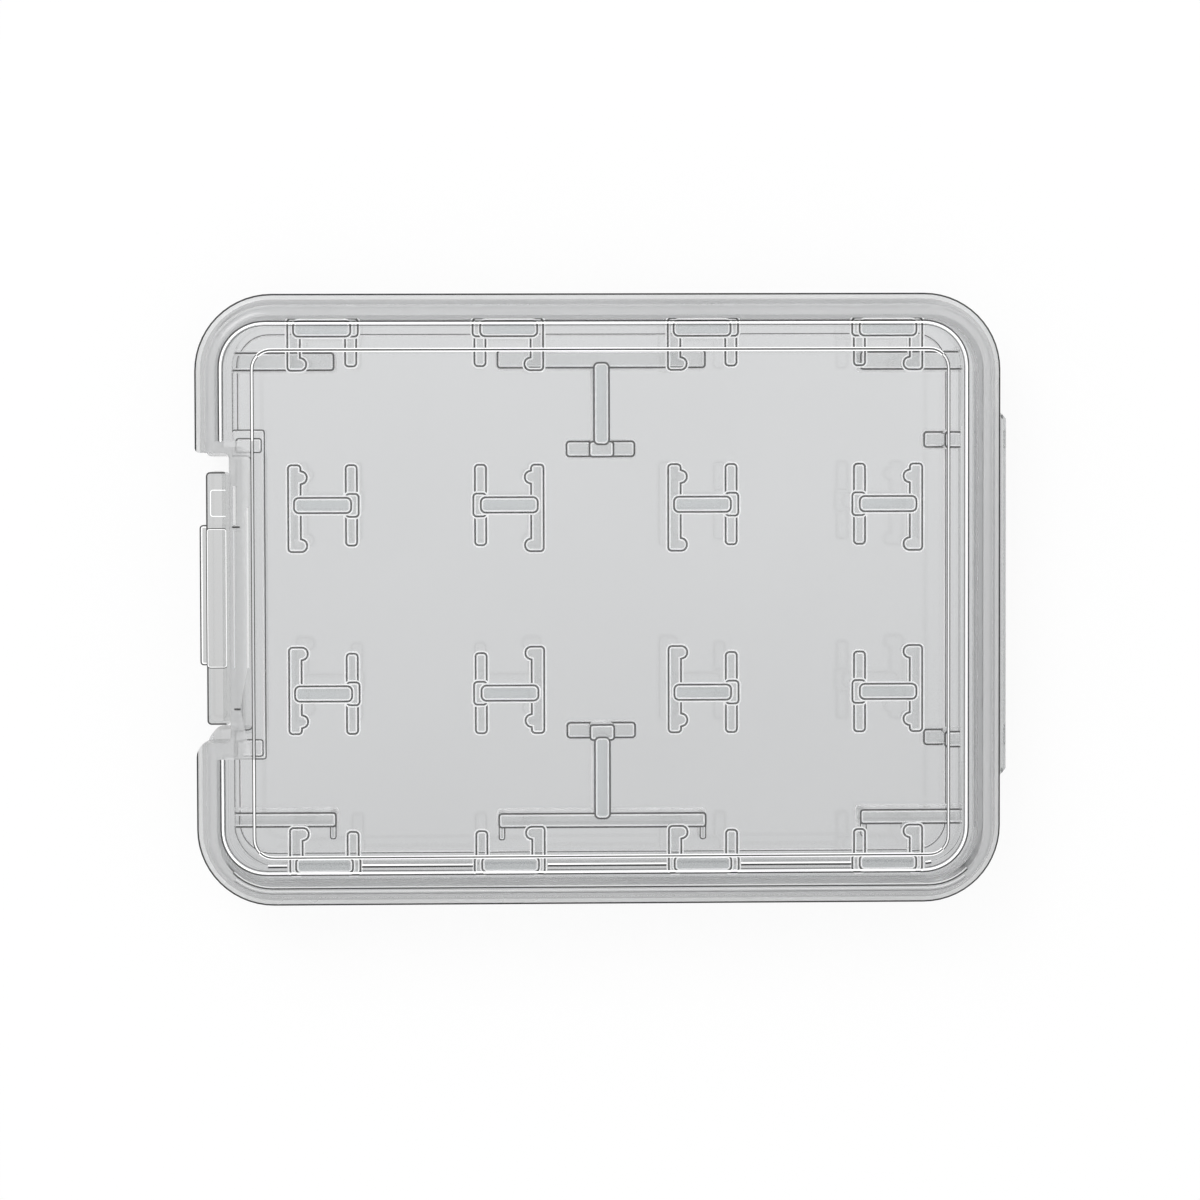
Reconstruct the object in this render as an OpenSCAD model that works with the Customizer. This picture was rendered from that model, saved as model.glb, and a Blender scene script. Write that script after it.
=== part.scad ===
// A clear clamshell case for memory cards. The base holds full-size cards between dividers, the lid
// holds small cards between clips, and a thin web along the right side joins the two halves.
// X runs from the latch to the hinge, Y across the case, and Z up from the face it lies on.

/* [Case] */
// Thickness of the closed case
case_t = 9; // [8.6:0.1:12]
// Outer corner radius of the lid, seen from above
corner_r = 5.6; // [4.8:0.1:8]
// Height of the base, up to the face where the halves meet
base_h = 4.5; // [4.3:0.1:5]
// Thickness of the floor and of the lid's panel
panel_t = 1; // [0.8:0.05:1.2]
// Radius of the outer edges of floor and panel
edge_r = 0.8; // [0.4:0.1:1]

/* [Rims] */
// How far the lid stands out past the base all round
overhang = 0.9; // [0.7:0.1:1.2]
// How far the lid's rim stands out past its wall
flange_d = 0.85; // [0.6:0.05:0.9]
// Height of the lid's rim
flange_h = 1.1; // [0.8:0.1:1.6]
// Bevel along the top of the rim
bevel = 0.4; // [0.2:0.05:0.5]
// Thickness of the lid's wall
lid_wall = 1.1; // [0.9:0.05:1.3]
// Thickness of the locating lip that stands up from the base
lip_t = 0.45; // [0.4:0.05:0.7]
// Height of the locating lip
lip_h = 0.6; // [0.3:0.05:0.8]
// Least gap between the lip and the lid's wall
lip_gap = 0.1; // [0.05:0.05:0.3]
// How far the base sits off the lid across the case
set_y = 0.3; // [0:0.05:0.3]
// Inset of the raised pad on the lid
pad_inset = 4.4; // [3.6:0.05:5]
// Height of the raised pad on the lid
pad_h = 0.25; // [0.1:0.05:0.4]

/* [Hinge] */
// Length of the thin web along the side
web_l = 26.6; // [16:0.2:32]
// Thickness of the web
web_t = 0.3; // [0.2:0.05:0.35]
// How far the folded web stands out past the lid
web_out = 0.5; // [0.45:0.05:0.7]
// Height of the land on the base that the web grows from
land_h = 1.1; // [0.9:0.1:1.6]
// Length of the stretch beside the hinge that has no lip
lip_gap_hinge = 24.6; // [16:0.2:34]

/* [Latch] */
// Length of the recess for the latch
notch_l = 20; // [19.4:0.1:24]
// Depth of the recess in the lid, from the lid's outline
notch_lid = 2.7; // [2.5:0.05:3]
// Thickness of the walls around the recess
notch_wall = 0.9; // [0.7:0.05:1.1]
// Radius of the rim's corners at the recess
notch_r = 0.8; // [0.3:0.1:1]
// Length of the tongue
tongue_l = 18.3; // [14:0.1:18.6]
// Thickness of the tongue
tongue_t = 1.1; // [0.8:0.05:1.2]
// How far the tongue's outer face lies inside the lid's outline
tongue_in = 1; // [0.9:0.05:1.2]
// Height of the tongue's lower end above the table
tongue_z = 1.4; // [1:0.1:1.6]
// Depth of the tongue's root, where it bends
root_h = 1.2; // [0.9:0.1:1.5]
// Length of the thumb lip
thumb_l = 10.2; // [6:0.2:14]
// How far the thumb lip stands out
thumb_out = 0.6; // [0.3:0.1:0.8]
// Height of the thumb lip
thumb_h = 1.2; // [0.8:0.1:1.6]
// Height of the ledge that the tongue's hook reaches under
keeper_h = 1.1; // [0.8:0.1:1.3]
// How far the ledge stands out of the recess wall
keeper_d = 1.1; // [0.8:0.05:1.2]
// Height of the hook on the tongue
hook_h = 0.9; // [0.6:0.1:1]
// Gap all round between the hook and the ledge
latch_gap = 0.1; // [0.05:0.05:0.2]

/* [Full-size cards] */
// Length of a full-size card
sd_l = 32; // [30:0.5:33]
// Width of a full-size card
sd_w = 24; // [22:0.5:25]
// Play between a full-size card and what holds it at its ends
sd_play = 0.65; // [0.3:0.05:1]
// Play between a full-size card and the wall beside the latch
side_play = 0.1; // [0.05:0.05:0.25]
// How far the dividers stay below the face where the halves meet
divider_gap = 0.3; // [0.2:0.1:1]
// Distance of the full-size cards' middle line from the middle of the base
cards_y = 0.3; // [0:0.05:0.4]
// Thickness of the divider between the two cards
stem_t = 1.1; // [0.8:0.1:1.4]
// Length of the divider between the two cards
stem_l = 5.4; // [3:0.1:9]
// Distance of the divider's middle from the middle of the base
stem_x = 0.27; // [0:0.01:0.6]
// Thickness of the bars at the cards' upper ends
bar_t_top = 1.25; // [0.8:0.05:1.4]
// Thickness of the bars at the cards' lower ends
bar_t_bottom = 1; // [0.8:0.05:1.3]
// Length of the bar on each divider
bar_l = 15.15; // [10:0.05:20]
// Length of the short leg that turns back at the end of a lower bar
leg_l = 0.9; // [0.3:0.1:1]
// Thickness of that short leg
leg_w = 0.4; // [0.3:0.05:0.8]
// Distance from the wall to the free end of the bar in each corner
corner_l = 7.35; // [4:0.05:9]
// How much nearer the cards the corner bars stand than the dividers' bars
corner_in = 0.15; // [0:0.05:0.25]
// How far a divider's stem and a clip's bar stand above what they join
bar_rise = 0.2; // [0.1:0.05:0.3]
// Radius of the rounded ends of a stem and of a clip's bar
bar_r = 0.35; // [0.1:0.05:0.4]
// Height of the rests that carry a card above the panel
rest_h = 0.6; // [0.3:0.1:0.8]
// Length of the rest at the divider's end
foot_l = 5; // [3:0.1:7]
// Width of the post at the divider's end
foot_post = 1.75; // [1.3:0.05:2]
// Distance of the side stops from the cards' middle line
stop_y = 11; // [8:0.1:13]
// Width of the side stops
stop_t = 1.1; // [0.8:0.1:1.4]
// Length of each side stop, from the wall to the card
stop_l = 1.13; // [0.5:0.01:2]
// How far the low rest reaches out of each side stop
stop_rest = 1.3; // [0.6:0.1:2]

/* [Small cards] */
// Length of a small card
micro_l = 15; // [14.6:0.1:15.4]
// Width of a small card
micro_w = 11; // [10.6:0.1:11.2]
// Play between a small card and the two knobs that hold it
micro_play = 0.7; // [0.1:0.1:1]
// Play across the middle row of small cards
middle_play = 1.5; // [0.9:0.1:1.8]
// Play across the outer rows of small cards
outer_play = 0.6; // [0.3:0.05:1]
// Space between the two columns of clips
column_gap = 9; // [8:0.1:10]
// Distance of the clips' middle from the middle of the lid, along the case
clips_x = 0.45; // [0:0.05:0.8]
// Distance of the clips' middle from the middle of the lid, across the case
clips_y = 0.2; // [0:0.05:0.3]
// Gap between the clips and the lip on the base
clip_gap = 0.3; // [0.2:0.05:1]
// Thickness of a clip's bar
clip_bar = 1.1; // [0.8:0.1:1.4]
// Thickness of a clip's tall leg
leg_t = 0.9; // [0.7:0.1:1.1]
// Thickness of a clip's low leg, which carries the card
rail_t = 0.8; // [0.6:0.05:1]
// Distance between the two legs of a clip
leg_gap = 3.25; // [2.4:0.05:4]
// How far a clip's bar stops short of the outer faces of its legs
bar_short = 0.42; // [0.3:0.02:0.6]
// Radius of the knobs that grip a card
knob_r = 0.45; // [0.3:0.05:0.5]
// Reach of a clip's leg from the clip's middle, away from the middle row
reach_out = 2.9; // [2:0.1:3.2]
// Reach of a clip's tall leg from the clip's middle, towards the middle row
reach_in = 3.35; // [2:0.05:3.6]
// Gap between a wall clip's bar and the lid's wall
wall_gap = 0.4; // [0.3:0.05:1.4]
// Reach of a wall clip's tall leg from its bar
wall_reach = 2.45; // [1.6:0.05:3]
// Reach of a wall clip's low leg from its bar
wall_rail = 2.15; // [1.6:0.05:3]
// Width of the posts at the ends of the bars
post_w = 1.65; // [1.3:0.05:2]
// How far a clip's post stands out past its low leg
post_out = 0.12; // [0.05:0.01:0.2]
// Distance from the outer end of a tall leg to its outer knob
knob_outer = 0.9; // [0.5:0.05:1]
// Distance from the inner end of a tall leg to its inner knob
knob_inner = 0.5; // [0.45:0.05:0.8]

/* [Hidden] */
$fn = 48;
eps = 0.01;
clear_plastic = [0.83, 0.84, 0.85];
lid_plastic = [0.87, 0.88, 0.9];
latch_plastic = [0.76, 0.78, 0.8];

// Insets of the walls from the lid's outline
in_lid = flange_d + lid_wall;
in_lip = in_lid + set_y + lip_gap;
in_pocket = in_lip + lip_t;
// Two full-size cards side by side give the room inside the base, and three rows of small cards
// give the room inside the lid; both are half sizes
stop_x = stem_x + stem_t / 2 + sd_w + sd_play;
pocket_x = stop_x + stop_l;
row_y = (micro_w + middle_play + clip_bar) / 2;
wall_row_y = row_y + clip_bar / 2 + micro_w + outer_play;
lid_y = wall_row_y + clip_bar + wall_gap;
// Half of the lid's outline
far_x = pocket_x + in_pocket;
far_y = lid_y + in_lid;
// Heights: the top of the floor, the underside of the lid's panel, and the lid's face round the pad
floor_z = panel_t;
panel_z = case_t - panel_t;
panel_top = case_t - pad_h;
// Inner face of the bars at the cards' ends, from the cards' middle line
bar_y = (sd_l + sd_play) / 2;
// Top of the stems, and of the bars that they join
divider_z = base_h - divider_gap;
bar_z = divider_z - bar_rise;
// Faces at the latch: the base's recess, the lid's recess, the tongue and the ledge on the base
recess_x = stem_x - stem_t / 2 - sd_w - side_play - notch_wall;
bridge_x = -far_x + notch_lid;
tongue_x = -far_x + tongue_in;
keeper_x = recess_x - keeper_d;
// Half lengths of the recess in the base and in the lid
base_half = notch_l / 2;
lid_half = base_half + set_y;
// Half of the stretch beside the latch that has no lip
lip_half_latch = lid_half + notch_wall + set_y + lip_gap;
// A leg that grips a small card's end lies this far from the middle of its column
grip_x = (micro_l + micro_play) / 2 + knob_r;
column_x = column_gap / 2 + leg_t + grip_x;
// Clips' bars run from this height up to the panel, and their legs from a little higher
clip_z = base_h + lip_h + clip_gap;
leg_z = clip_z + bar_rise;
// Middle of the whole closed case, with its web
mid_x = web_out / 2;

// A rectangle with round corners, set in from the lid's outline
module outline(inset) {
    l = 2 * (far_x - inset);
    w = 2 * (far_y - inset);
    r = corner_r - inset;
    square([l - 2 * r, w], center = true);
    square([l, w - 2 * r], center = true);
    for (sx = [-1, 1], sy = [-1, 1])
        translate([sx * (l / 2 - r), sy * (w / 2 - r)]) circle(r);
}

// A slab of that outline between two heights
module slab(inset, z0, z1) {
    translate([0, 0, z0]) linear_extrude(z1 - z0) outline(inset);
}

// A section carried all round the outline, with its own origin on the outline
module around(inset) {
    l = far_x - corner_r;
    w = far_y - corner_r;
    for (i = [0:3]) {
        sx = (i == 0 || i == 3) ? 1 : -1;
        sy = i < 2 ? 1 : -1;
        run = i % 2 == 0 ? 2 * w : 2 * l;
        translate([sx * l, sy * w, 0]) rotate([0, 0, 90 * i]) {
            rotate_extrude(angle = 90) translate([corner_r - inset, 0]) children();
            rotate([90, 0, 0]) linear_extrude(run) translate([corner_r - inset, 0]) children();
        }
    }
}

// What rounding takes off a top edge at the origin
module round_off(r) {
    difference() {
        translate([-r, -r]) square(r + eps);
        translate([-r, -r]) circle(r);
    }
}

// What a bevel takes off a top edge at the origin
module bevel_off(d) {
    polygon([[-d, eps], [eps, eps], [eps, -d]]);
}

// A block given by its low and high corners
module block(low, high) {
    translate(low) cube(high - low);
}

// Places of the two halves: the lid stands over the origin and the base a little off it
module on_lid() {
    translate([-mid_x, 0, 0]) children();
}

module on_base() {
    translate([-mid_x, set_y, 0]) children();
}

// A bar with rounded ends, given by its low and high corners
module bar(low, high) {
    size = high - low;
    translate(low) linear_extrude(size[2]) {
        translate([bar_r, 0]) square([size[0] - 2 * bar_r, size[1]]);
        translate([0, bar_r]) square([size[0], size[1] - 2 * bar_r]);
        for (x = [bar_r, size[0] - bar_r], y = [bar_r, size[1] - bar_r])
            translate([x, y]) circle(bar_r);
    }
}

// The recess for the latch, cut in past a rim whose corners are rounded
module recess(edge, depth, half) {
    translate([-far_x - 1, -half]) square([depth + 1, 2 * half]);
    for (side = [0, 1]) mirror([0, side]) translate([edge - far_x, half]) difference() {
        translate([-eps, -eps]) square(notch_r + eps);
        translate([notch_r, notch_r]) circle(notch_r);
    }
}

// The floor and walls of the base, with the land for the web and the locating lip
module base_tray() color(clear_plastic) on_base() {
    difference() {
        union() {
            difference() {
                union() {
                    slab(overhang, 0, base_h);
                    slab(in_lip, floor_z, base_h + lip_h);
                    block([pocket_x, -web_l / 2, base_h - land_h], [far_x, web_l / 2, base_h]);
                }
                slab(in_pocket, floor_z, case_t);
                around(overhang) mirror([0, 1]) round_off(edge_r);
            }
            block([-pocket_x - eps, -base_half - notch_wall, floor_z - eps],
                  [recess_x + notch_wall, base_half + notch_wall, base_h]);
        }
        translate([0, 0, -eps]) linear_extrude(case_t) recess(overhang, far_x + recess_x, base_half);
        block([-far_x, -lip_half_latch, base_h], [0, lip_half_latch, case_t]);
        block([0, -lip_gap_hinge / 2, base_h], [far_x, lip_gap_hinge / 2, case_t]);
    }
}

// Carries a shape from the cards' upper end to their lower end
module at_end(below) {
    translate([0, cards_y, 0]) mirror([0, below ? 1 : 0, 0]) children();
}

// A bar at the cards' ends, with a short leg turned back at each free end of a lower one
module end_bar(x0, x1, y, below, both_free) {
    far_y = y + (below ? bar_t_bottom : bar_t_top);
    block([x0, y, floor_z], [x1, far_y, bar_z]);
    if (below) {
        block([x0, y, floor_z], [x0 + leg_w, far_y + leg_l, bar_z]);
        if (both_free)
            block([x1 - leg_w, y, floor_z], [x1, far_y + leg_l, bar_z]);
    }
}

// The divider between the two full-size cards: bar, stem, end post and low rests
module divider(below) color(clear_plastic) on_base() at_end(below) {
    foot_y = bar_y - stem_l;
    post = [foot_post / 2, foot_l / 2];
    end_bar(stem_x - bar_l / 2, stem_x + bar_l / 2, bar_y, below, true);
    bar([stem_x - stem_t / 2, foot_y - bar_rise, floor_z],
        [stem_x + stem_t / 2, bar_y + bar_r, divider_z]);
    block([stem_x - post[0], foot_y - stem_t, floor_z], [stem_x + post[0], foot_y, bar_z]);
    block([stem_x - post[1], foot_y - stem_t, floor_z], [stem_x + post[1], foot_y, floor_z + rest_h]);
}

module divider_top() divider(false);

module divider_bottom() divider(true);

// The bar that grows from the side wall at a corner of the base
module corner_bracket(left, below) color(clear_plastic) on_base() intersection() {
    mirror([left ? 0 : 1, 0, 0]) at_end(below) mirror([1, 0, 0])
        end_bar(pocket_x - corner_l, pocket_x, bar_y - corner_in, below, false);
    slab(in_pocket, floor_z, base_h);
}

module corner_bracket_top_left() corner_bracket(true, false);

module corner_bracket_top_right() corner_bracket(false, false);

module corner_bracket_bottom_left() corner_bracket(true, true);

module corner_bracket_bottom_right() corner_bracket(false, true);

// A rib on the hinge side that stops a card sideways, with a low rest under the card's edge
module side_stop(below) color(clear_plastic) on_base() at_end(below) {
    y0 = stop_y - stop_t / 2;
    y1 = stop_y + stop_t / 2;
    block([stop_x, y0, floor_z], [pocket_x, y1, bar_z]);
    block([stop_x - stop_rest, y0, floor_z], [stop_x, y1, floor_z + rest_h]);
}

module side_stop_top() side_stop(false);

module side_stop_bottom() side_stop(true);

// The ledge along the recess that the tongue's hook reaches under
module latch_keeper() color(clear_plastic) on_base()
    block([recess_x - keeper_d, -base_half, base_h - keeper_h], [recess_x, base_half, base_h]);

// The thin web along the hinge side, folded round as the closed case holds it
module hinge_web() color(latch_plastic) on_base() translate([far_x, 0, base_h])
    intersection() {
        rotate([90, 0, 0]) linear_extrude(web_l, center = true) difference() {
            circle(web_out);
            circle(web_out - web_t);
        }
        translate([0, 0, -web_out - eps]) linear_extrude(2 * (web_out + eps))
            polygon([[0, -web_l / 2], [web_out, web_out - web_l / 2],
                     [web_out, web_l / 2 - web_out], [0, web_l / 2]]);
    }

// The panel, walls and rim of the lid, with the raised pad and the recess for the tongue
module lid_cover() color(lid_plastic) on_lid() {
    rim_z = base_h + flange_h;
    difference() {
        union() {
            difference() {
                union() {
                    difference() {
                        slab(0, base_h, rim_z);
                        around(0) translate([0, rim_z]) bevel_off(bevel);
                    }
                    difference() {
                        slab(flange_d, base_h, panel_top);
                        around(flange_d) translate([0, panel_top]) round_off(edge_r);
                    }
                    slab(pad_inset, panel_z, case_t);
                }
                slab(in_lid, 0, panel_z);
            }
            block([in_lid - far_x - eps, -lid_half - notch_wall, base_h],
                  [bridge_x + notch_wall, lid_half + notch_wall, panel_z + eps]);
        }
        linear_extrude(case_t + eps) recess(0, notch_lid, lid_half);
    }
}

// A tall leg with its inner face at x = 0, from y0 up to y1, with knobs at the given places
module gripping_leg(y0, y1, knobs) {
    block([-leg_t, y0, leg_z], [0, y1, panel_z]);
    for (y = knobs) translate([0, y, leg_z]) cylinder(r = knob_r, h = panel_z - leg_z);
}

// The bar between a clip's legs, with its near face at y
module clip_beam(y) {
    bar([bar_short - leg_t, y, clip_z], [leg_gap + rail_t - bar_short, y + clip_bar, panel_z]);
}

// The low leg of a clip, which carries a card, with the post where it meets the clip's bar
module rail(y0, y1, post_y0, post_y1) {
    block([leg_gap, y0, panel_z - rest_h], [leg_gap + rail_t, y1, panel_z]);
    block([leg_gap, post_y0, leg_z], [leg_gap + rail_t + post_out, post_y1, panel_z]);
}

// A clip between two rows of small cards, with y pointing away from the middle row
module row_clip() {
    gripping_leg(-reach_in, reach_out, [knob_inner - reach_in, reach_out - knob_outer]);
    clip_beam(-clip_bar / 2);
    rail(-reach_out, reach_out, -post_w / 2, post_w / 2);
}

// A clip that grows from the lid's wall, with y = 0 at its bar's face and the bar's other face at a
// given gap from the wall
module wall_clip(gap) {
    wall = clip_bar + gap;
    gripping_leg(-wall_reach, wall, [knob_inner - wall_reach]);
    clip_beam(0);
    rail(-wall_rail, wall, 0, wall);
}

// Carries a clip to its column; columns 2 and 4 face back towards 1 and 3
module in_column(column, y, below) color(clear_plastic) on_lid() {
    middle = clips_x + (column > 2 ? 1 : -1) * column_x;
    back = column % 2 == 0;
    translate([middle, clips_y, 0]) mirror([0, below ? 1 : 0, 0])
        translate([back ? grip_x : -grip_x, y, 0]) mirror([back ? 1 : 0, 0, 0]) children();
}

// The tongue that hangs from the lid, with its hook, its thumb lip and its root
module latch_tongue() color(latch_plastic) on_lid() {
    inner_x = tongue_x + tongue_t;
    tip_x = keeper_x - latch_gap;
    hook_z = base_h - keeper_h - latch_gap;
    rotate([90, 0, 0]) linear_extrude(tongue_l, center = true)
        polygon([
            [tongue_x, tongue_z], [inner_x, tongue_z], [inner_x, hook_z - hook_h],
            [tip_x, hook_z - hook_h / 3], [tip_x, hook_z], [inner_x, hook_z],
            [inner_x, panel_z - root_h], [bridge_x, panel_z - root_h], [bridge_x, panel_z],
            [tongue_x + bevel, panel_z], [tongue_x, panel_z - bevel]
        ]);
    block([tongue_x - thumb_out, -thumb_l / 2, tongue_z], [tongue_x, thumb_l / 2, tongue_z + thumb_h]);
}

base_tray();
divider_top();
divider_bottom();
corner_bracket_top_left();
corner_bracket_top_right();
corner_bracket_bottom_left();
corner_bracket_bottom_right();
side_stop_top();
side_stop_bottom();
latch_keeper();
hinge_web();
lid_cover();
for (column = [1:4]) {
    in_column(column, row_y, false) row_clip();
    in_column(column, row_y, true) row_clip();
    in_column(column, wall_row_y, false) wall_clip(wall_gap - clips_y);
    in_column(column, wall_row_y, true) wall_clip(wall_gap + clips_y);
}
latch_tongue();
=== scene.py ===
import math

import bmesh
import bpy
from mathutils import Matrix, Vector


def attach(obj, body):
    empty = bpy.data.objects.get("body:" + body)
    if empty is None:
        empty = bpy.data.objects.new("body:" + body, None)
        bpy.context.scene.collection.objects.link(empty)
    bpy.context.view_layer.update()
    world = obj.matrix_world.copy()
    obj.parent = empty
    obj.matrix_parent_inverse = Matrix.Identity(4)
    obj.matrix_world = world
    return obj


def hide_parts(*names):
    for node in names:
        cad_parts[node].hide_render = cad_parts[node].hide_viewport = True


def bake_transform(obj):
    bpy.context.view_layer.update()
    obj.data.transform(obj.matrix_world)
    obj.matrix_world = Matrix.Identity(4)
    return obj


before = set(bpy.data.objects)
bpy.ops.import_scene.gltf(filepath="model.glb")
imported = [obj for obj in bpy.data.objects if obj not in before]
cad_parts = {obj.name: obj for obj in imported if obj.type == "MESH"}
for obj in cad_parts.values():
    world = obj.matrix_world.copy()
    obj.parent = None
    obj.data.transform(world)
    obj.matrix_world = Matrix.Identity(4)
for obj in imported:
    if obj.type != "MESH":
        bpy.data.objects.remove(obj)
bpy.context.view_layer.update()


# Lid: the upper half of the shell, moulded in one piece of clear, slightly milky polypropylene
# with its rim, its raised pad and the walls round the recess that the latch hangs in. Its sharp
# edges catch the light, and are drawn as thin rings of painted shade and painted highlight. All
# sizes are in millimetres.

def clear_plastic(name, pale, deep, roughness, ripple, haze=0.0):
    """Glossy clear plastic with soft clouds in its tint and the mould's flow marks"""
    material = bpy.data.materials.new(name)
    material.use_nodes = True
    nodes, links = material.node_tree.nodes, material.node_tree.links
    shader = nodes["Principled BSDF"]
    shader.inputs["IOR"].default_value = 1.49
    shader.inputs["Transmission Weight"].default_value = 1.0 - haze
    place = nodes.new("ShaderNodeTexCoord")
    cloud = nodes.new("ShaderNodeTexNoise")
    cloud.inputs["Scale"].default_value = 55.0
    cloud.inputs["Detail"].default_value = 3.0
    links.new(place.outputs["Object"], cloud.inputs["Vector"])
    tint = nodes.new("ShaderNodeMix")
    tint.data_type = "RGBA"
    tint.inputs["A"].default_value = (*pale, 1)
    tint.inputs["B"].default_value = (*deep, 1)
    links.new(cloud.outputs["Fac"], tint.inputs["Factor"])
    links.new(tint.outputs["Result"], shader.inputs["Base Color"])
    gloss = nodes.new("ShaderNodeMapRange")
    gloss.inputs["To Min"].default_value = roughness * 0.6
    gloss.inputs["To Max"].default_value = roughness * 1.4
    links.new(cloud.outputs["Fac"], gloss.inputs["Value"])
    links.new(gloss.outputs["Result"], shader.inputs["Roughness"])
    flow = nodes.new("ShaderNodeTexNoise")
    flow.inputs["Scale"].default_value = 160.0
    flow.inputs["Detail"].default_value = 1.0
    links.new(place.outputs["Object"], flow.inputs["Vector"])
    bump = nodes.new("ShaderNodeBump")
    bump.inputs["Strength"].default_value = ripple
    bump.inputs["Distance"].default_value = 0.0001
    links.new(flow.outputs["Fac"], bump.inputs["Height"])
    links.new(bump.outputs["Normal"], shader.inputs["Normal"])
    return material


def only(piece):
    bpy.ops.object.select_all(action="DESELECT")
    piece.select_set(True)
    bpy.context.view_layer.objects.active = piece


def open_up(piece):
    only(piece)
    bpy.ops.object.mode_set(mode="EDIT")
    bpy.ops.mesh.select_all(action="DESELECT")


def close_up():
    bpy.ops.object.mode_set(mode="OBJECT")


def pick_faces(piece, test):
    bpy.ops.mesh.select_mode(type="FACE")
    bpy.ops.mesh.select_all(action="DESELECT")
    shape = bmesh.from_edit_mesh(piece.data)
    shape.normal_update()
    for face in shape.faces:
        if test(face.calc_center_median(), face.normal):
            face.select_set(True)
    bmesh.update_edit_mesh(piece.data)


def pick_edges(piece, test):
    bpy.ops.mesh.select_mode(type="EDGE")
    bpy.ops.mesh.select_all(action="DESELECT")
    shape = bmesh.from_edit_mesh(piece.data)
    for edge in shape.edges:
        a, b = edge.verts[0].co, edge.verts[1].co
        if test((a + b) / 2, (b - a).normalized()):
            edge.select_set(True)
    bmesh.update_edit_mesh(piece.data)


def cube(low, high):
    size = [b - a for a, b in zip(low, high)]
    middle = [(a + b) / 2 for a, b in zip(low, high)]
    bpy.ops.object.select_all(action="DESELECT")
    bpy.ops.mesh.primitive_cube_add(size=1, location=middle, scale=size)
    bpy.ops.object.transform_apply(location=True, rotation=True, scale=True)
    return bpy.context.object


def upright(middle, way):
    return abs(way.z) > 0.99


def plate(half_x, half_y, radius, z0, z1):
    """A flat plate with round corners"""
    piece = cube((-half_x, -half_y, z0), (half_x, half_y, z1))
    open_up(piece)
    pick_edges(piece, upright)
    bpy.ops.mesh.bevel(offset=radius, segments=14, affect="EDGES")
    close_up()
    return piece


def quarter_round(radius, count=6):
    """The steps inwards and upwards that turn a wall into a panel"""
    places = [(radius * (1 - math.cos(a)), radius * math.sin(a))
              for a in (math.pi / 2 * i / count for i in range(count + 1))]
    return [(b[0] - a[0], b[1] - a[1]) for a, b in zip(places, places[1:])]


def raise_steps(piece, facing, steps):
    """Step the faces on one side inwards with a rise, or straight up or down without a width"""
    pick_faces(piece, lambda middle, normal: normal.z * facing > 0.99)
    for inward, rise in steps:
        if inward:
            bpy.ops.mesh.inset(thickness=inward, depth=rise * facing, use_even_offset=True)
        else:
            bpy.ops.mesh.extrude_region_move(TRANSFORM_OT_translate={"value": (0, 0, rise)})


def ring(piece, width, slot, rise=0):
    """Give the picked face a ring of one material inside its edge, most often painted shade or a
    painted highlight, and leave its middle picked
    """
    piece.active_material_index = slot
    bpy.ops.object.material_slot_assign()
    bpy.ops.mesh.inset(thickness=width, depth=rise, use_even_offset=True)


def paint(piece, slot, test):
    for face in piece.data.polygons:
        if test(face.center, face.normal):
            face.material_index = slot


def combine(piece, other, operation):
    only(piece)
    step = piece.modifiers.new("join", "BOOLEAN")
    step.operation, step.solver, step.object = operation, "EXACT", other
    bpy.ops.object.modifier_apply(modifier=step.name)
    bpy.data.objects.remove(other)


def latch_cutter(edge_x, end_x, low, high, z0, z1, low_radius):
    """The opening for the latch: its lower corner is rounded much more than its upper one"""
    cutter = cube((edge_x - 2, low, z0), (end_x, high, z1))
    open_up(cutter)
    bpy.ops.mesh.select_all(action="SELECT")
    bpy.ops.mesh.bisect(plane_co=(edge_x, 0, 0), plane_no=(1, 0, 0))
    for end, side, radius in ((low, -1, low_radius), (high, 1, 0.35)):
        pick_faces(cutter, lambda middle, normal: middle.x < edge_x and normal.y * side > 0.99)
        bpy.ops.mesh.extrude_region_move(TRANSFORM_OT_translate={"value": (0, side * 3, 0)})
        pick_edges(cutter, lambda middle, way: upright(middle, way)
                   and abs(middle.x - edge_x) < 0.01 and abs(middle.y - end) < 0.01)
        bpy.ops.mesh.bevel(offset=radius, segments=8, affect="EDGES")
    pick_edges(cutter, lambda middle, way: upright(middle, way) and abs(middle.x - end_x) < 0.01)
    bpy.ops.mesh.bevel(offset=0.4, segments=5, affect="EDGES")
    close_up()
    return cutter


def settle(piece, name, materials, body, nodes, place):
    """Turn millimetres into metres, close and smooth the mesh, and hang the piece on its body"""
    piece.name = name
    for material in materials:
        piece.data.materials.append(material)
    piece.location = Vector(place) * 0.001
    piece.scale = (0.001, 0.001, 0.001)
    only(piece)
    bpy.ops.object.transform_apply(location=True, rotation=True, scale=True)
    bpy.ops.object.mode_set(mode="EDIT")
    bpy.ops.mesh.select_all(action="SELECT")
    bpy.ops.mesh.remove_doubles(threshold=1e-6)
    bpy.ops.mesh.normals_make_consistent(inside=False)
    bpy.ops.object.mode_set(mode="OBJECT")
    bpy.ops.object.shade_smooth_by_angle(angle=math.radians(35))
    for face in piece.data.polygons:
        if max(abs(way) for way in face.normal) > 0.9995:
            face.use_smooth = False
    if body:
        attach(piece, body)
    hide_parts(*nodes)


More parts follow.
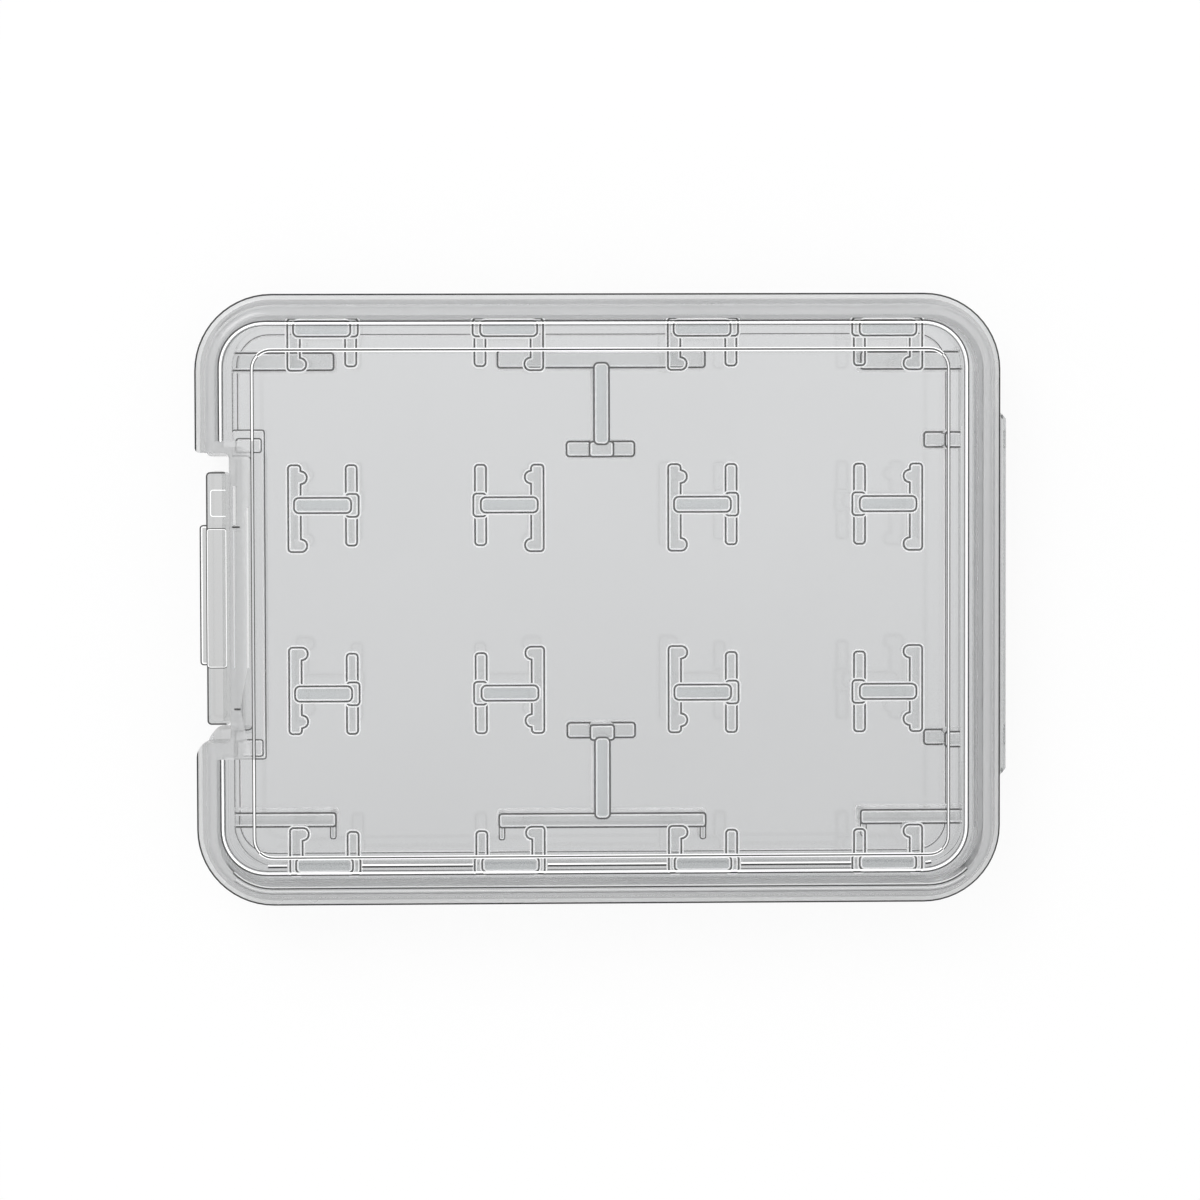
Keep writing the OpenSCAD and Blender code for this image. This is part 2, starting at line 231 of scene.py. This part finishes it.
panel_clear = clear_plastic("clear panel", (0.95, 0.955, 0.96), (0.91, 0.915, 0.92), 0.01, 0.02)
# A darker, hazier copy of the plastic for walls and bands: painted shade
wall_shaded = clear_plastic("shaded clear wall", (0.8, 0.805, 0.81), (0.72, 0.725, 0.73), 0.12, 0.05,
                           haze=0.35)
# A paler, hazy copy of the plastic for bands of painted highlight
wall_highlight = clear_plastic("painted wall highlight", (0.96, 0.965, 0.965), (0.92, 0.925, 0.925), 0.3, 0.0,
                          haze=0.5)
# Nearly black rings of painted shade, the dark lines along edges
edge_shade = clear_plastic("sharp edge", (0.01, 0.01, 0.01), (0.005, 0.005, 0.005), 0.3, 0.0)
# Grey rings and stripes of painted shade
grey_edge_shade = clear_plastic("painted grey shade", (0.5, 0.5, 0.5), (0.42, 0.42, 0.42), 0.3, 0.0)
# Opaque white rings of painted highlight along edges
edge_highlight = clear_plastic("painted edge highlight", (0.97, 0.97, 0.97), (0.94, 0.94, 0.94), 0.5, 0.0,
                          haze=1.0)
# The painted highlights glow a little, so that they stay white under the clear panel
shine = edge_highlight.node_tree.nodes["Principled BSDF"]
shine.inputs["Emission Color"].default_value = (1, 1, 1, 1)
shine.inputs["Emission Strength"].default_value = 0.3

# Material slots of a moulded piece: the clear plastic, painted dark lines of shade, glowing
# painted highlights, a darker copy of the plastic as painted shade, painted grey shade, a spare
# slot and painted highlight bands. Two of the lid's rings show only along its lower side, and the
# grey shade and the spare slot mark them until all its faces are there.
CLEAR, DARK, PALE, SHADED_TONE, GREY_SHADE, SPARE, HIGHLIGHT_BAND = range(7)
LID_X, LID_Y, CORNER = 29.35, 22.28, 5.6
RIM_Z, PANEL_UNDER, PANEL_TOP = 4.56, 8.0, 8.75
RIM_WIDTH, SHOULDER = 0.85, 0.8
WALL_END = RIM_WIDTH + SHOULDER
RECESS_LOW, RECESS_HIGH = -11.33, 11.62
LID_PLACE = (-0.22, 0.03, 0)

lid = plate(LID_X, LID_Y, CORNER, RIM_Z, 5.35)
for material in (panel_clear, edge_shade, edge_highlight, wall_shaded, grey_edge_shade, edge_highlight, wall_highlight):
    lid.data.materials.append(material)
open_up(lid)

# Upwards: the rim, which is RIM_WIDTH wide, the wall, its round shoulder and the panel's edge
rim = [(0.12, 0.1), (0.05, 0.03), (0.1, 0.05), (0.15, 0.07), (0.43, 0)]
raise_steps(lid, 1, rim + [(0, 2.35)] + quarter_round(SHOULDER, 12) + [(0.1, 0), (0.52, 0)])

# The panel's rings are painted shade and painted highlight, for edges lower down that show
# through.
# Then the raised pad with rings of its own. Both lie a little off the lid's middle.
bpy.ops.transform.translate(value=(-0.4, 0.25, 0))
for width, slot in ((0.09, DARK), (0.04, CLEAR), (0.12, PALE), (0.08, CLEAR), (0.05, DARK),
                    (0.15, CLEAR), (0.04, CLEAR), (0.14, GREY_SHADE), (0.1, SPARE), (1.04, CLEAR)):
    ring(lid, width, slot)
bpy.ops.transform.resize(value=(1, 1.015, 1))
bpy.ops.transform.translate(value=(0.475, -0.4, 0))
for width, slot, rise in ((0.07, DARK, 0.02), (0.13, PALE, 0.21), (0.07, DARK, 0.02),
                          (0.02, CLEAR, 0)):
    ring(lid, width, slot, rise)

# Downwards: the hollow under the panel. Then the bar that the latch hangs from, and its opening.
raise_steps(lid, -1, [(0.06, -0.06), (1.89, 0), (0, 3.2)] + quarter_round(0.3, 3))
close_up()
combine(lid, cube((-27.46, -11.2, 4.5), (-25.8, 11.2, PANEL_UNDER + 0.01)), "UNION")
combine(lid, latch_cutter(-LID_X, -26.7, -10.13, 10.77, 4, 10, 1.3), "DIFFERENCE")

# The recess's walls end at two lines. Narrow raised marks lie between them beside the tongue's
# root, painted highlight bands and painted dark dashes, each plastic at a height of its own.
MARK_RISE = {DARK: 0.009, HIGHLIGHT_BAND: 0.004}
for y in (RECESS_LOW, RECESS_HIGH):
    open_up(lid)
    bpy.ops.mesh.select_all(action="SELECT")
    bpy.ops.mesh.bisect(plane_co=(0, y, 0), plane_no=(0, 1, 0))
    close_up()
for x0, y0, x1, y1, slot in ((-26.42, 5.6, -26.24, 8.4, HIGHLIGHT_BAND), (-26.5, 5.38, -25.95, 5.5, DARK),
                             (-26.42, -7.75, -25.97, -7.62, DARK),
                             (-26.42, -4.7, -26.34, 5.2, HIGHLIGHT_BAND),
                             (-25.45, -4.7, -25.33, 6.8, HIGHLIGHT_BAND)):
    mark = cube((x0, y0, 8.6), (x1, y1, PANEL_TOP + MARK_RISE[slot]))
    for material in lid.data.materials:
        mark.data.materials.append(material)
    paint(mark, slot, lambda at, way: True)
    combine(lid, mark, "UNION")

# The lower wall clips hide the painted dark rings over them, so the rings are cut at the clips'
# ends
CLIP_SPANS = [(-22.68, -17.28), (-9.28, -3.88), (4.72, 10.12), (18.12, 23.52)]
for x in [end for span in CLIP_SPANS for end in span]:
    open_up(lid)
    pick_faces(lid, lambda middle, way: middle.y < -17 and middle.z > 8.7 and way.z > 0.3)
    bpy.ops.mesh.bisect(plane_co=(x, 0, 0), plane_no=(1, 0, 0))
    close_up()


def inside_lid(at):
    """How far a point lies inside the lid's outline"""
    past_x, past_y = abs(at.x) - LID_X + CORNER, abs(at.y) - LID_Y + CORNER
    if past_x > 0 and past_y > 0:
        return CORNER - math.hypot(past_x, past_y)
    return CORNER - max(past_x, past_y)


def beside_latch(at):
    return RECESS_LOW < at.y < RECESS_HIGH


# The wall, the rim's underside and the place round the latch are deeper in tone than the panel:
# a darker copy of the plastic as painted shade
paint(lid, SHADED_TONE, lambda at, way: inside_lid(at) < WALL_END)
paint(lid, SHADED_TONE, lambda at, way: at.z < RIM_Z + 0.04 and inside_lid(at) > 0.06)
paint(lid, SHADED_TONE, lambda at, way: beside_latch(at) and inside_lid(at) < 3.4 and at.x < 0
      and at.z < PANEL_TOP + 0.002)

# The two marked rings get their painted shade and painted highlight along the lower side and are
# clear elsewhere, and no painted dark ring is left over a lower wall clip. Beside the latch the
# pale rings become painted highlight bands.
for face in lid.data.polygons:
    at, slot = face.center, face.material_index
    if slot in (GREY_SHADE, SPARE):
        lower_side = at.y < -15 and abs(at.x) < 24
        face.material_index = {GREY_SHADE: DARK, SPARE: PALE}[slot] if lower_side else CLEAR
    if (slot in (DARK, GREY_SHADE, SPARE) and 2.6 < inside_lid(at) < 3.78 and at.y < -15 and at.z < 8.8
            and any(low < at.x < high for low, high in CLIP_SPANS)):
        face.material_index = CLEAR
    if slot == PALE and at.x < -24.5 and beside_latch(at):
        face.material_index = HIGHLIGHT_BAND

# Painted stripes along the lower side where the wall turns into the panel: painted grey shade, a
# painted highlight band, a painted dark line and another band. Then the rim's edge as a painted
# dark line and a painted highlight band, and the pad's slope as painted highlights round a
# painted dark line
for low, high, slot in ((1.163, 1.25, GREY_SHADE), (1.344, 1.443, HIGHLIGHT_BAND), (1.546, WALL_END, DARK),
                        (WALL_END, 1.75, HIGHLIGHT_BAND)):
    paint(lid, slot, lambda at, way: low < inside_lid(at) < high and at.y < -19
          and abs(at.x) < 26.5 and at.z > PANEL_UNDER and way.z > 0)
paint(lid, DARK, lambda at, way: inside_lid(at) < 0.12 and way.z > 0.2)
paint(lid, HIGHLIGHT_BAND, lambda at, way: 0.12 < inside_lid(at) < 0.42 and way.z > 0.2)
for low, high, slot in ((8.755, 8.765, PALE), (8.8, 8.95, DARK), (8.98, 8.995, PALE)):
    paint(lid, slot, lambda at, way: low < at.z < high and 0.3 < way.z < 0.999
          and abs(way.y) > abs(way.x))
settle(lid, "lid_shell", [], "lid", ["lid_cover"], LID_PLACE)


# Base: the lower half, a tray of the same clear plastic with rounded lower edges, a thin lip that
# goes inside the lid, the recess that the latch reaches down into, with a wall and two gussets
# behind it, and the land that the web hinge grows from.

def block(x0, y0, x1, y1, turn, z0, z1):
    """One bar with rounded upright edges"""
    piece = cube((x0, y0, z0), (x1, y1, z1))
    open_up(piece)
    pick_edges(piece, upright)
    bpy.ops.mesh.bevel(offset=turn, segments=8 if turn > 0.4 else 4, affect="EDGES")
    close_up()
    for material in (rib_clear, edge_shade, edge_highlight, bar_clear):
        piece.data.materials.append(material)
    return piece


def outline(piece, z, rings, fill=CLEAR):
    """Give a flat upper face rings inside its edge, of painted shade and painted highlight, and a
    fill
    """
    def pick():
        pick_faces(piece, lambda middle, way: way.z > 0.99 and abs(middle.z - z) < 0.002)

    open_up(piece)
    pick()
    bpy.ops.mesh.dissolve_limited(angle_limit=0.01)
    pick()
    for width, slot in rings:
        ring(piece, width, slot)
    piece.active_material_index = fill
    bpy.ops.object.material_slot_assign()
    close_up()


# Darker copies of the panel's plastic for the ribs and for the bars, which are also a little
# bluer: their darkness is painted shade
rib_clear = clear_plastic("clear rib", (0.88, 0.885, 0.885), (0.82, 0.825, 0.825), 0.01, 0.003)
bar_clear = clear_plastic("clear bar", (0.83, 0.86, 0.87), (0.77, 0.81, 0.82), 0.01, 0.003)
# The base's wall band is a darker copy of the plastic too, as painted shade
base_wall_shaded = clear_plastic("shaded clear base wall", (0.88, 0.885, 0.89), (0.84, 0.845, 0.85), 0.02, 0.05)
BASE_X, BASE_Y, BASE_TOP = 28.5, 21.5, 4.47
LATCH_WALL_TOP = 4.46
WEB_END = 13.3
BASE_PLACE = (-0.25, 0.3, 0)

base = plate(BASE_X, BASE_Y, CORNER - 0.9, 0.8, BASE_TOP)
for material in (panel_clear, edge_shade, edge_highlight, base_wall_shaded):
    base.data.materials.append(material)
open_up(base)

# The rounded lower edge, then the wall's top, the lip on it and the hollow down to the floor
raise_steps(base, -1, [(inward, -rise) for inward, rise in quarter_round(0.8)])
lip = [(0, 0.6), (0.03, 0.03), (0.39, 0), (0.03, -0.03)]
raise_steps(base, 1, [(1.45, 0)] + lip + [(0, -4.07), (0.44, 0)])
# A painted dark line and a painted highlight round the floor's edge, shifted a little towards the
# latch
bpy.ops.transform.translate(value=(-0.28, 0, 0))
for width, slot in ((0.07, DARK), (0.1, PALE), (0.02, CLEAR)):
    ring(base, width, slot)
close_up()

# The wall behind the latch, the land for the web, the opening for the latch and two gussets
# The latch wall and the gussets have a painted dark line and a painted highlight round their tops
WALL_RINGS = [(0.1, DARK), (0.11, PALE)]
latch_wall = block(-26.7, -11.9, -24.25, 12.18, 0.22, 0.9, LATCH_WALL_TOP)
outline(latch_wall, LATCH_WALL_TOP, WALL_RINGS)
combine(base, latch_wall, "UNION")
combine(base, cube((26.55, -WEB_END, 3.4), (29.38, WEB_END, BASE_TOP)), "UNION")
combine(base, latch_cutter(-BASE_X, -25.28, -9.69, 10.22, -1, 6, 1.0), "DIFFERENCE")
# A painted dark line along the recess's upper edge, as a narrow bevel in the dark plastic
open_up(base)
pick_edges(base, lambda middle, way: 4.4 < middle.z < 4.48 and abs(way.z) < 0.1
           and middle.x < -25.2 and -10.75 < middle.y < 10.62 and inside_lid(middle) > 0.92)
bpy.ops.mesh.bevel(offset=0.1, segments=1, affect="EDGES", material=DARK)
close_up()
for low, high in ((10.46, 11.56), (-11.7, -10.4)):
    gusset = block(-26.4, low, -24.47, high, 0.22, 4.2, BASE_TOP)
    outline(gusset, BASE_TOP, WALL_RINGS)
    combine(base, gusset, "UNION")

# The lip stops beside the latch and beside the web
combine(base, cube((-30, -11.6, BASE_TOP + 0.005), (-20, 11.6, 6)), "DIFFERENCE")
combine(base, cube((20, -12.3, BASE_TOP), (30, 12.3, 6)), "DIFFERENCE")
# The base's wall band gets its darker plastic, as painted shade
paint(base, SHADED_TONE, lambda at, way: inside_lid(at) < 2.75)
settle(base, "base_shell", [], "base", ["base_tray"], BASE_PLACE)


# Dividers, corner bars and side stops: thin ribs moulded onto the base's floor, which keep the
# two full-size cards apart and hold their ends. The low strips beside them carry the cards.

# A hair of air parts a rib's foot from its panel, so that no two clear faces lie on each other
GAP = 0.02
FLOOR = 1.0 + GAP
REST_Z, RIB_Z = 1.6, 4.0
CARDS_PLACE = (-0.25, 0.6, 0)


def joined(parts):
    first = parts[0]
    for other in parts[1:]:
        combine(first, other, "UNION")
    return first


def rib(bars, root, tip, fill=CLEAR, edge=0.135, halo=0.105):
    """Bars of one height in one piece, with a small foot where they leave the panel, and a
    painted dark line with painted highlights round the root or the top
    """
    hangs = root > tip
    foot = root - 0.06 if hangs else root + 0.06
    parts = []
    for x0, y0, x1, y1, turn in bars:
        for grow, z0, z1 in ((0 if hangs else edge / 2, (foot + root) / 2, tip),
                             (halo + edge / 2, foot, root)):
            parts.append(block(x0 - grow, y0 - grow, x1 + grow, y1 + grow, turn + grow,
                               min(z0, z1), max(z0, z1)))
    piece = joined(parts)
    if hangs:
        outline(piece, root, [(halo, PALE), (edge, DARK), (halo, PALE)], fill)
    else:
        outline(piece, tip, [(edge, DARK), (halo, PALE)], fill)
        # The foot's top is a painted highlight
        paint(piece, PALE, lambda at, way: way.z > 0.99 and abs(at.z - foot) < 0.002)
    return piece


def short_leg(x, y0, y1):
    return rib([(x, y0, x + 0.4, y1, 0.15)], FLOOR + 0.01, RIB_Z - 0.02, edge=0.09, halo=0.06)


def mirrored(piece, x=1, y=1):
    copy = piece.copy()
    copy.data = piece.data.copy()
    bpy.context.collection.objects.link(copy)
    copy.scale = (x, y, 1)
    only(copy)
    bpy.ops.object.transform_apply(location=True, rotation=True, scale=True)
    return copy


def lay_rib(piece, name, node):
    settle(piece, name, [], "base", [node], CARDS_PLACE)


def t_divider(bar_thick, legs):
    """A long bar at the cards' ends, and a stem from it to a post with two low rests"""
    x, bar_y, foot_y, half_bar = 0.27, 16.325, 10.925, 7.575
    parts = [rib([(x - 2.5, foot_y - 1.1, x + 2.5, foot_y, 0.22)], FLOOR, REST_Z)]
    if legs:
        for end in (x - half_bar, x + half_bar - 0.4):
            parts.append(short_leg(end, bar_y + 0.3, bar_y + bar_thick + 0.9))
    parts.append(rib([(x - half_bar, bar_y, x + half_bar, bar_y + bar_thick, 0.2),
                      (x - 0.875, foot_y - 1.1, x + 0.875, foot_y, 0.2)], FLOOR, RIB_Z))
    # The stem gets the bars' darker plastic, as painted shade
    parts.append(rib([(x - 0.55, foot_y - 0.2, x + 0.55, bar_y + 0.35, 0.35)], FLOOR,
                     RIB_Z + 0.2, fill=SHADED_TONE))
    return joined(parts)


def keep_inside(piece, shift):
    """Trim a rib to the room between the base's walls"""
    room = plate(26.58, 19.58, 2.8, 0, 6)
    room.location.y = shift
    only(room)
    bpy.ops.object.transform_apply(location=True)
    combine(piece, room, "INTERSECT")


def corner_bar(thick, leg):
    end, bar_y = 19.25, 16.175
    parts = [rib([(end, bar_y, 26.9, bar_y + thick, 0.2)], FLOOR, RIB_Z)]
    if leg:
        parts.append(short_leg(end, 16.4, bar_y + thick + 0.9))
    bar = joined(parts)
    keep_inside(bar, 0.3 if leg else -0.3)
    return bar


lay_rib(t_divider(1.25, False), "divider_rib_top", "divider_top")
lower = t_divider(1.0, True)
lay_rib(mirrored(lower, y=-1), "divider_rib_bottom", "divider_bottom")
bpy.data.objects.remove(lower)

upper, lower = corner_bar(1.25, False), corner_bar(1.0, True)
lay_rib(mirrored(upper, x=-1), "corner_rib_top_left", "corner_bracket_top_left")
lay_rib(mirrored(lower, x=-1, y=-1), "corner_rib_bottom_left", "corner_bracket_bottom_left")
lay_rib(mirrored(lower, y=-1), "corner_rib_bottom_right", "corner_bracket_bottom_right")
lay_rib(upper, "corner_rib_top_right", "corner_bracket_top_right")
bpy.data.objects.remove(lower)

for name, side in (("top", 1), ("bottom", -1)):
    stop = joined([rib([(24.17, 10.45, 25.8, 11.55, 0.2)], FLOOR, REST_Z),
                   rib([(25.47, 10.45, 26.9, 11.55, 0.2)], FLOOR, RIB_Z)])
    keep_inside(stop, 0)
    lay_rib(mirrored(stop, y=side), "side_rib_" + name, "side_stop_" + name)
    bpy.data.objects.remove(stop)


# Latch ledge: a straight ledge along the inner side of the base's recess, moulded with the base.
# The latch's hook goes under it and holds the case shut.

ledge = cube((-26.38, -9.98, 3.4), (-25.3, 9.98, 4.48))
open_up(ledge)
pick_edges(ledge, lambda middle, way: middle.x < -26.3 and abs(way.y) > 0.99)
bpy.ops.mesh.bevel(offset=0.2, segments=3, affect="EDGES")
close_up()
settle(ledge, "latch_ledge", [rib_clear], "base", ["latch_keeper"], BASE_PLACE)


# Small-card clips: H-shaped clips that hang from the lid's panel, moulded with it. A tall leg
# with round knobs grips a card's end, a low leg carries the card, and a rounded bar joins the
# two. Between the rows they are whole, and along the long walls they are half as long.

CEILING = PANEL_UNDER - GAP
MIDDLE_X, MIDDLE_Y = 0.2, 0.2
COLUMN_PAIR_X, ROW_Y, WALL_Y = 13.7, 6.8, 18.95


def clip(grip, rest, post, knobs, bar_y):
    """One clip: grip, rest and post are the lowest and highest y of its three straight parts"""
    leg_z, far_x, turn = 5.6, 3.25, 0.25
    tall = [(-0.9, grip[0], 0, grip[1], turn)]
    tall += [(-0.88, y - 0.45, 0.45, y + 0.45, 0.43) for y in knobs]
    return joined([
        rib([(far_x, rest[0], 4.05, rest[1], turn)], CEILING - 0.03, 7.4),
        rib(tall, CEILING - 0.02, leg_z),
        rib([(far_x, post[0], 4.17, post[1], turn)], CEILING - 0.01, leg_z),
        # The bar gets the bars' darker plastic, as painted shade
        rib([(-0.48, bar_y, 3.63, bar_y + 1.1, 0.35)], CEILING, leg_z - 0.2, fill=SHADED_TONE),
    ])


row_clip = clip((-3.35, 2.9), (-2.9, 2.9), (-0.825, 0.825), (-2.9, 2.0), -0.55)
upper_end, lower_end = 1.28, 0.92
wall_clips = {
    "top": clip((-2.45, upper_end), (-2.15, upper_end), (0, upper_end), (-2.0,), 0),
    "bottom": clip((-2.45, lower_end), (-2.15, lower_end), (-0.26, lower_end), (-2.0,), -0.26),
}
combine(wall_clips["top"], cube((-3, -5, 4), (6, upper_end, 9)), "INTERSECT")
for end, side in (("top", 1), ("bottom", -1)):
    for column in range(1, 5):
        middle = MIDDLE_X + (COLUMN_PAIR_X if column > 2 else -COLUMN_PAIR_X)
        turned = -1 if column % 2 == 0 else 1
        for kind, shape, y in (("row", row_clip, ROW_Y), ("wall", wall_clips[end], WALL_Y)):
            settle(mirrored(shape, x=turned, y=side), f"{kind}_grip_{end}_{column}", [], "lid",
                   [f"{kind}_clip_{end}_{column}"],
                   (middle - 8.3 * turned, MIDDLE_Y + side * y, 0))
for shape in (row_clip, *wall_clips.values()):
    bpy.data.objects.remove(shape)


# Latch: a springy tongue that hangs from the lid in the recess, moulded with it, with a thumb lip
# outside and a hook inside. It bends where it leaves the lid, and its upper face has two low
# raised panels.

TONGUE_X, TONGUE_LOW, TONGUE_HIGH = -28.4, -8.85, 9.4
TONGUE_FOOT, THUMB_TOP, BLADE_TOP, TONGUE_TOP = 1.4, 2.6, 7.9, 7.98

# The blade, the thicker root above it, the hook and the thumb lip
tongue = block(TONGUE_X, TONGUE_LOW, -27.3, TONGUE_HIGH, 0.3, TONGUE_FOOT, BLADE_TOP)
root = block(TONGUE_X, TONGUE_LOW, -26.72, TONGUE_HIGH, 0.3, 6.8, TONGUE_TOP)
combine(tongue, root, "UNION")
hook = cube((-27.5, TONGUE_LOW, 2.4), (-26.48, 9.15, 3.3))
open_up(hook)
pick_edges(hook, lambda middle, way: middle.x > -26.6 and middle.z < 2.5 and abs(way.y) > 0.99)
bpy.ops.mesh.bevel(offset=0.55, segments=2, affect="EDGES")
close_up()
combine(tongue, hook, "UNION")
thumb = block(-29.2, -4.85, -28.1, 5.45, 0.25, TONGUE_FOOT, THUMB_TOP)
# The thumb lip's top is ringed with a painted dark line and a painted highlight
outline(thumb, THUMB_TOP, [(0.1, DARK), (0.1, PALE)])
combine(tongue, thumb, "UNION")

# The upper face's edge as a painted dark line with a band of painted shade inside, then its two
# raised panels, ringed with painted highlight and painted shade
outline(tongue, TONGUE_TOP, [(0.11, DARK), (0.09, CLEAR), (0.08, SHADED_TONE)])
panel = block(-28.1, 6.18, -26.85, 8.12, 0.2, BLADE_TOP, TONGUE_TOP + 0.01)
outline(panel, TONGUE_TOP + 0.01, [(0.05, PALE), (0.04, SHADED_TONE)])
combine(tongue, panel, "UNION")
pad = block(-28.42, -4.77, -26.9, 5.36, 0.25, BLADE_TOP, TONGUE_TOP + 0.02)
outline(pad, TONGUE_TOP + 0.02, [(0.07, DARK), (0.04, PALE)])
combine(tongue, pad, "UNION")
paint(tongue, CLEAR, lambda at, way: way.z > 0.99 and at.z > BLADE_TOP and at.x > -26.98)
settle(tongue, "latch_spring", [], "latch", ["latch_tongue"], LID_PLACE)


# Web hinge: a thin strip of the same plastic that joins the two halves along the right side, with
# slanted ends. It is folded into a half round while the case is closed.

HINGE_X, HINGE_Z = 29.4, 4.5


def hinge_rod(radius, length):
    bpy.ops.object.select_all(action="DESELECT")
    bpy.ops.mesh.primitive_cylinder_add(vertices=48, radius=radius, depth=length,
                                        location=(HINGE_X, 0, HINGE_Z),
                                        rotation=(math.pi / 2, 0, 0))
    bpy.ops.object.transform_apply(location=True, rotation=True, scale=True)
    return bpy.context.object


# A tube, cut down to its outer half and then aslant at both ends
web = hinge_rod(0.5, 2 * WEB_END)
combine(web, hinge_rod(0.2, 30), "DIFFERENCE")
open_up(web)
bpy.ops.mesh.select_all(action="SELECT")
bpy.ops.mesh.bisect(plane_co=(HINGE_X + 0.02, 0, 0), plane_no=(-1, 0, 0), use_fill=True,
                    clear_outer=True)
for side in (-1, 1):
    bpy.ops.mesh.select_all(action="SELECT")
    bpy.ops.mesh.bisect(plane_co=(HINGE_X, WEB_END * side, 0), plane_no=(1, side, 0),
                        use_fill=True, clear_outer=True)
close_up()
settle(web, "web_strip", [rib_clear], None, ["hinge_web"], BASE_PLACE)
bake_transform(web)


# Table, light and camera: the case lies on a white table under a soft white tent, with darker
# sides that draw the edges of the clear plastic, and is seen from almost straight above. The
# plastic sees the table a little darker towards the photograph's lower edge.

def add_node(kind, **values):
    node = nodes.new(kind)
    for name, value in values.items():
        setattr(node, name, value)
    return node


bpy.ops.object.select_all(action="DESELECT")
bpy.ops.mesh.primitive_plane_add(size=3, location=(0, 0, -0.00004))
table = bpy.context.object
table.name = "table"
white = bpy.data.materials.new("white table")
white.use_nodes = True
nodes, links = white.node_tree.nodes, white.node_tree.links
matt = nodes["Principled BSDF"]
matt.inputs["Base Color"].default_value = (0.9, 0.9, 0.9, 1)
matt.inputs["Roughness"].default_value = 0.9
glow = add_node("ShaderNodeEmission")
spot = add_node("ShaderNodeTexCoord")
axes = add_node("ShaderNodeSeparateXYZ")
links.new(spot.outputs["Object"], axes.inputs["Vector"])
fall = add_node("ShaderNodeMapRange")
for end, value in (("From Min", -0.03), ("From Max", 0.03), ("To Min", 0.6), ("To Max", 0.78)):
    fall.inputs[end].default_value = value
links.new(axes.outputs["Y"], fall.inputs["Value"])
path = add_node("ShaderNodeLightPath")
bright = add_node("ShaderNodeMath", operation="MAXIMUM")
links.new(path.outputs["Is Camera Ray"], bright.inputs[0])
links.new(fall.outputs["Result"], bright.inputs[1])
links.new(bright.outputs[0], glow.inputs["Strength"])
share = add_node("ShaderNodeMath", operation="MULTIPLY")
share.inputs[1].default_value = 0.9
links.new(path.outputs["Is Camera Ray"], share.inputs[0])
for ray in ("Is Transmission Ray", "Is Glossy Ray"):
    also = add_node("ShaderNodeMath", operation="MAXIMUM")
    links.new(share.outputs[0], also.inputs[0])
    links.new(path.outputs[ray], also.inputs[1])
    share = also
blend = add_node("ShaderNodeMixShader")
links.new(share.outputs[0], blend.inputs["Fac"])
links.new(matt.outputs[0], blend.inputs[1])
links.new(glow.outputs[0], blend.inputs[2])
links.new(blend.outputs[0], nodes["Material Output"].inputs["Surface"])
table.data.materials.append(white)

world = bpy.data.worlds.new("light tent")
bpy.context.scene.world = world
world.use_nodes = True
nodes, links = world.node_tree.nodes, world.node_tree.links
sky = nodes["Background"]
way = add_node("ShaderNodeTexCoord")
height = add_node("ShaderNodeSeparateXYZ")
links.new(way.outputs["Generated"], height.inputs["Vector"])
ramp = add_node("ShaderNodeValToRGB")
for stop, position, grey in zip(ramp.color_ramp.elements, (0.12, 0.5), (0.6, 1)):
    stop.position = position
    stop.color = (grey, grey, grey, 1)
links.new(height.outputs["Z"], ramp.inputs["Fac"])
links.new(ramp.outputs["Color"], sky.inputs["Color"])
sky.inputs["Strength"].default_value = 1.0
plain = add_node("ShaderNodeBackground")
plain.inputs["Color"].default_value = (1, 1, 1, 1)
path = add_node("ShaderNodeLightPath")
mixed = add_node("ShaderNodeMixShader")
links.new(path.outputs["Is Camera Ray"], mixed.inputs["Fac"])
links.new(sky.outputs[0], mixed.inputs[1])
links.new(plain.outputs[0], mixed.inputs[2])
links.new(mixed.outputs[0], nodes["World Output"].inputs["Surface"])

bpy.ops.object.light_add(type="AREA", location=(-0.25, 0.35, 0.5))
lamp = bpy.context.object
lamp.data.size = 0.3
lamp.data.energy = 1.2
lamp.rotation_euler = (-lamp.location).to_track_quat("-Z", "Y").to_euler()

eye = Vector((-10.27, 13.21, 320)) * 0.001
target = Vector((-0.126, -0.053, 4.5)) * 0.001
roll = -0.0027
forward = (target - eye).normalized()
right = forward.cross(Vector((0, 1, 0))).normalized()
up = right.cross(forward)
side = right * math.cos(roll) + up * math.sin(roll)
top = up * math.cos(roll) - right * math.sin(roll)
bpy.ops.object.camera_add(location=eye)
camera = bpy.context.object
aim = Matrix((side, top, -forward)).transposed().to_4x4()
camera.matrix_world = Matrix.Translation(eye) @ aim
camera.data.lens = 129.6
camera.data.sensor_width = 36
camera.data.clip_start = 0.01
scene = bpy.context.scene
scene.camera = camera
scene.view_settings.view_transform = "Standard"

# Light turns many times inside clear plastic before it leaves
scene.cycles.max_bounces = 24
scene.cycles.transmission_bounces = 24
scene.cycles.glossy_bounces = 24
